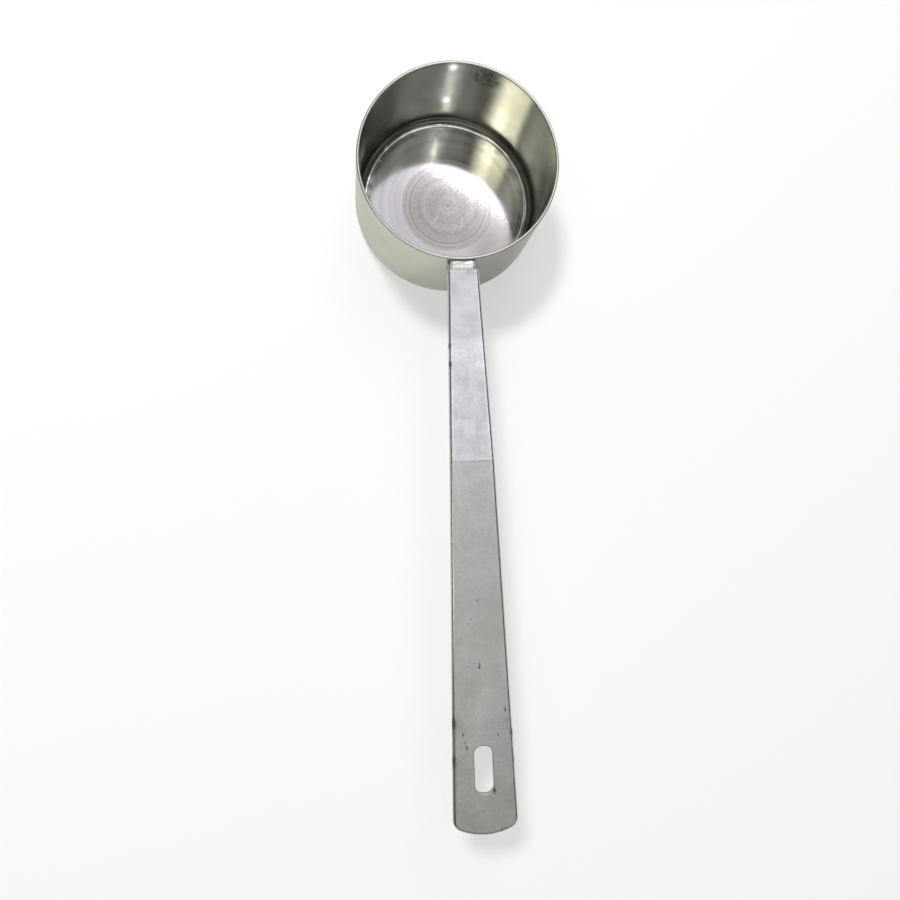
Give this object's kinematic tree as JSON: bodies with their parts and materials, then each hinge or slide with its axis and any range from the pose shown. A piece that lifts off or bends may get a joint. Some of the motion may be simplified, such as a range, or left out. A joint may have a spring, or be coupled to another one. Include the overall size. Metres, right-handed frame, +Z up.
{
  "type": "measuring cup",
  "caption": "Straight-sided steel measuring cup with a long flat strap handle, tapered, creased, and slotted near its end for hanging.",
  "frame": {"origin": "middle of the cup's flat base", "axes": "+Z up the cup's axis to its open rim, the handle points to -Y, X across the handle"},
  "size_m": [0.063, 0.2354, 0.0425],
  "materials": {
    "cup_steel": "bright polished stainless steel, with turned rings in the middle of the floor",
    "strap_steel": "satin tumbled stainless steel, lightly scuffed",
    "weld_steel": "bare weld metal, brushed over"
  },
  "bodies": {
    "root": {"cup": "cup_steel", "handle": "strap_steel", "weld_bead_top": "weld_steel", "weld_bead_foot": "weld_steel"}
  },
  "joints": []
}
